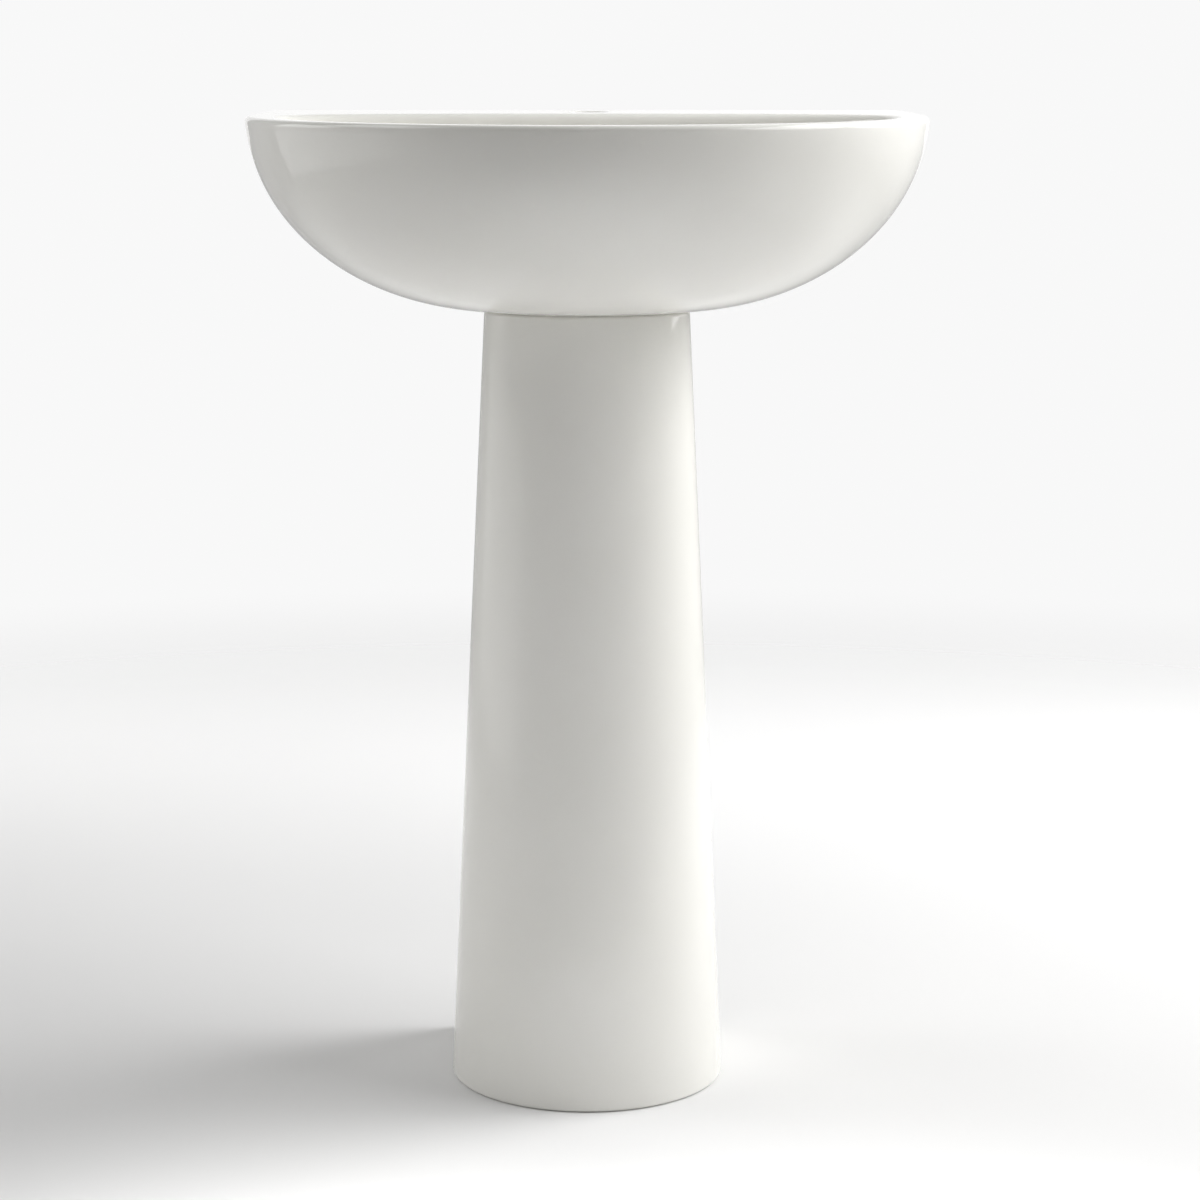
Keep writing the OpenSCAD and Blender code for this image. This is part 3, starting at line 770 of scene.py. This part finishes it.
def steel_material():
    material, tree, shader = new_material("drawn_steel")
    shader.inputs["Metallic"].default_value = 1.0
    vary(tree, noise(tree, 300.0, 3.0), (0.52, 0.53, 0.55), (0.66, 0.67, 0.69), shader.inputs["Base Color"])
    vary(tree, noise(tree, 500.0, 3.0), 0.2, 0.35, shader.inputs["Roughness"])
    bump(tree, shader, [(noise(tree, 1500.0, 2.0), 0.00004, 0.4)])
    return material


def rubber_material():
    material, tree, shader = new_material("moulded_rubber")
    black, grey = (0.035, 0.035, 0.036), (0.06, 0.06, 0.06)
    vary(tree, noise(tree, 200.0, 3.0), black, grey, shader.inputs["Base Color"])
    vary(tree, noise(tree, 300.0, 3.0), 0.55, 0.75, shader.inputs["Roughness"])
    bump(tree, shader, [(noise(tree, 900.0, 3.0), 0.0001, 0.4)])
    return material


def plastic_material():
    material, tree, shader = new_material("moulded_plastic")
    shader.inputs["Subsurface Weight"].default_value = 0.08
    shader.inputs["Subsurface Radius"].default_value = (0.004, 0.004, 0.003)
    vary(tree, noise(tree, 35.0, 3.0), (0.79, 0.79, 0.765), (0.84, 0.84, 0.82), shader.inputs["Base Color"])
    vary(tree, noise(tree, 160.0, 4.0), 0.3, 0.46, shader.inputs["Roughness"])
    bump(tree, shader, [(noise(tree, 45.0, 2.0), 0.0004, 0.15), (noise(tree, 1100.0, 2.0), 0.00006, 0.4)])
    return material


def sealant_material():
    material, tree, shader = new_material("white_silicone")
    vary(tree, noise(tree, 50.0, 3.0), (0.80, 0.80, 0.775), (0.85, 0.85, 0.83), shader.inputs["Base Color"])
    vary(tree, noise(tree, 90.0, 3.0), 0.35, 0.5, shader.inputs["Roughness"])
    bump(tree, shader, [(noise(tree, 120.0, 3.0), 0.0005, 0.4)])
    return material


def floor_material():
    """Pale matt floor that fades out into the pale surroundings."""
    material, tree, shader = new_material("pale_floor")
    vary(tree, noise(tree, 1.5), (0.80, 0.80, 0.80), (0.815, 0.815, 0.815), shader.inputs["Base Color"])
    shader.inputs["Roughness"].default_value = 0.75
    place = tree.nodes.new("ShaderNodeTexCoord")
    away = tree.nodes.new("ShaderNodeVectorMath")
    away.operation = "LENGTH"
    tree.links.new(place.outputs["Object"], away.inputs[0])
    fade = tree.nodes.new("ShaderNodeMapRange")
    fade.interpolation_type = "SMOOTHSTEP"
    fade.inputs["From Min"].default_value = FLOOR_SOLID
    fade.inputs["From Max"].default_value = FLOOR_REACH
    fade.inputs["To Min"].default_value = 1.0
    fade.inputs["To Max"].default_value = 0.0
    tree.links.new(away.outputs["Value"], fade.inputs["Value"])
    tree.links.new(fade.outputs["Result"], shader.inputs["Alpha"])
    return material


def paint_nodes(finish):
    """Gives every carried-over CAD node the procedural finish of its record slot."""
    slots = {part["node"]: part["material_slot"] for part in frame["record"]["subparts"]}
    for name, node in nodes.items():
        for material_slot in node.material_slots:
            material_slot.material = finish[slots[name]]


# ---- stage, light and camera ----

# How far out the floor is solid, and where it has faded away
FLOOR_SOLID, FLOOR_REACH = 1.1, 2.6

# Brightness of the surroundings as fill light, in reflections, and to the camera
FILL, REFLECTED, SEEN = 0.195, 0.45, 0.94


def make_floor(material):
    sides = 64
    turn = [2 * math.pi * i / sides for i in range(sides)]
    rim = [(FLOOR_REACH * math.cos(q), FLOOR_REACH * math.sin(q), 0.0) for q in turn]
    floor = new_object("studio_floor", rim, [tuple(range(sides))])
    floor.data.materials.append(material)


def softbox(name, place, target, width, height, power, spread=180):
    """A soft rectangular light; a small spread, in degrees, keeps it to a pool."""
    light = bpy.data.lights.new(name, "AREA")
    light.shape = "RECTANGLE"
    light.size, light.size_y, light.energy = width, height, power
    light.spread = math.radians(spread)
    obj = bpy.data.objects.new(name, light)
    bpy.context.scene.collection.objects.link(obj)
    obj.location = place
    obj.rotation_euler = (Vector(target) - Vector(place)).to_track_quat("-Z", "Y").to_euler()
    return obj


def left_panel(name, x, front, bottom, top, radiance):
    """A flat upright panel on the left that faces right, by its edges and its radiance."""
    back = 1.3
    width, height = back - front, top - bottom
    y, z = (front + back) / 2, (bottom + top) / 2
    softbox(name, (x, y, z), (0.0, y, z), width, height, radiance * math.pi * width * height)


def make_lights():
    """Strong soft light from the right, flat panels on the left, one behind, and pools on the floor."""
    middle = (0.0, 0.0, 0.6)
    softbox("right_back", (1.9, 0.8, 1.5), middle, 1.4, 1.6, 26.6)
    softbox("right_front", (1.9, -0.5, 1.8), middle, 1.2, 1.4, 19.4)
    softbox("right_near", (1.2, 0.35, 1.7), middle, 0.8, 0.8, 12.6)
    softbox("left_top", (-1.6, -0.1, 2.4), (0.0, 0.0, 0.7), 1.4, 1.0, 11.5)
    softbox("behind", (0.0, 3.0, 1.6), middle, 3.0, 2.2, 11.0)
    softbox("floor_pool", (0.0, -0.75, 2.2), (0.0, -0.75, 0.0), 0.8, 0.5, 3.9, 25)
    softbox("floor_back", (-0.3, 1.5, 2.2), (-0.3, 1.5, 0.0), 3.6, 1.2, 5.5, 40)
    # Panels one behind another, so that their reflections fade out towards the front and below
    layers, apart = 4, 0.02
    for k in range(layers):
        left_panel("left_low", -2.0 - apart * k, -1.15 + 0.12 * k, 0.02, 0.56, 0.14)
        left_panel("left_middle", -2.1 - apart * k, -0.25 + 0.1 * k, 0.56, 1.0, 0.1)
        left_panel("left_high", -2.2 - apart * k, -0.15 + 0.08 * k, 1.05 - 0.1 * k, 2.0, 0.5)


def make_world():
    """Surroundings that look pale, are dimmer in reflections, and give only a little even fill light."""
    world = bpy.data.worlds.new("studio")
    world.use_nodes = True
    tree = world.node_tree
    path = tree.nodes.new("ShaderNodeLightPath")
    result = tree.nodes["Background"]
    result.inputs["Color"].default_value = (1.0, 0.99, 0.97, 1.0)
    result.inputs["Strength"].default_value = FILL
    for ray, strength in (("Is Glossy Ray", REFLECTED), ("Is Camera Ray", SEEN)):
        view = tree.nodes.new("ShaderNodeBackground")
        view.inputs["Color"].default_value = (1.0, 1.0, 1.0, 1.0)
        view.inputs["Strength"].default_value = strength
        choose = tree.nodes.new("ShaderNodeMixShader")
        tree.links.new(path.outputs[ray], choose.inputs["Fac"])
        tree.links.new(result.outputs[0], choose.inputs[1])
        tree.links.new(view.outputs["Background"], choose.inputs[2])
        result = choose
    tree.links.new(result.outputs[0], tree.nodes["World Output"].inputs["Surface"])
    bpy.context.scene.world = world


def make_camera():
    """In front of the sink, 3 m from the wall and just above the rim, looking a little down."""
    distance, height, pitch, lens = 3.0, 0.93, 10.13, 97.2
    sensor_width, shift = 36.0, 0.0108
    data = bpy.data.cameras.new("camera")
    data.lens = lens
    data.sensor_width = sensor_width
    data.shift_x = shift
    data.dof.use_dof = False
    camera = bpy.data.objects.new("camera", data)
    bpy.context.scene.collection.objects.link(camera)
    camera.location = (0.0, WALL_Y - distance, height)
    camera.rotation_euler = (math.radians(90 - pitch), 0.0, 0.0)
    bpy.context.scene.camera = camera


def build():
    glaze, biscuit, steel = glaze_material(), biscuit_material(), steel_material()
    make_camera()
    make_world()
    make_floor(floor_material())
    make_lights()
    paint_nodes({
        "glazed_china": glaze, "white_sealant": sealant_material(), "chrome": chrome_material(),
        "brass": brass_material(), "spring_steel": steel, "black_rubber": rubber_material(),
        "white_plastic": plastic_material(),
    })
    make_basin(glaze, biscuit)
    make_pedestal(glaze, biscuit)
    make_spring(steel)
    bpy.context.scene.view_settings.view_transform = "Standard"


build()
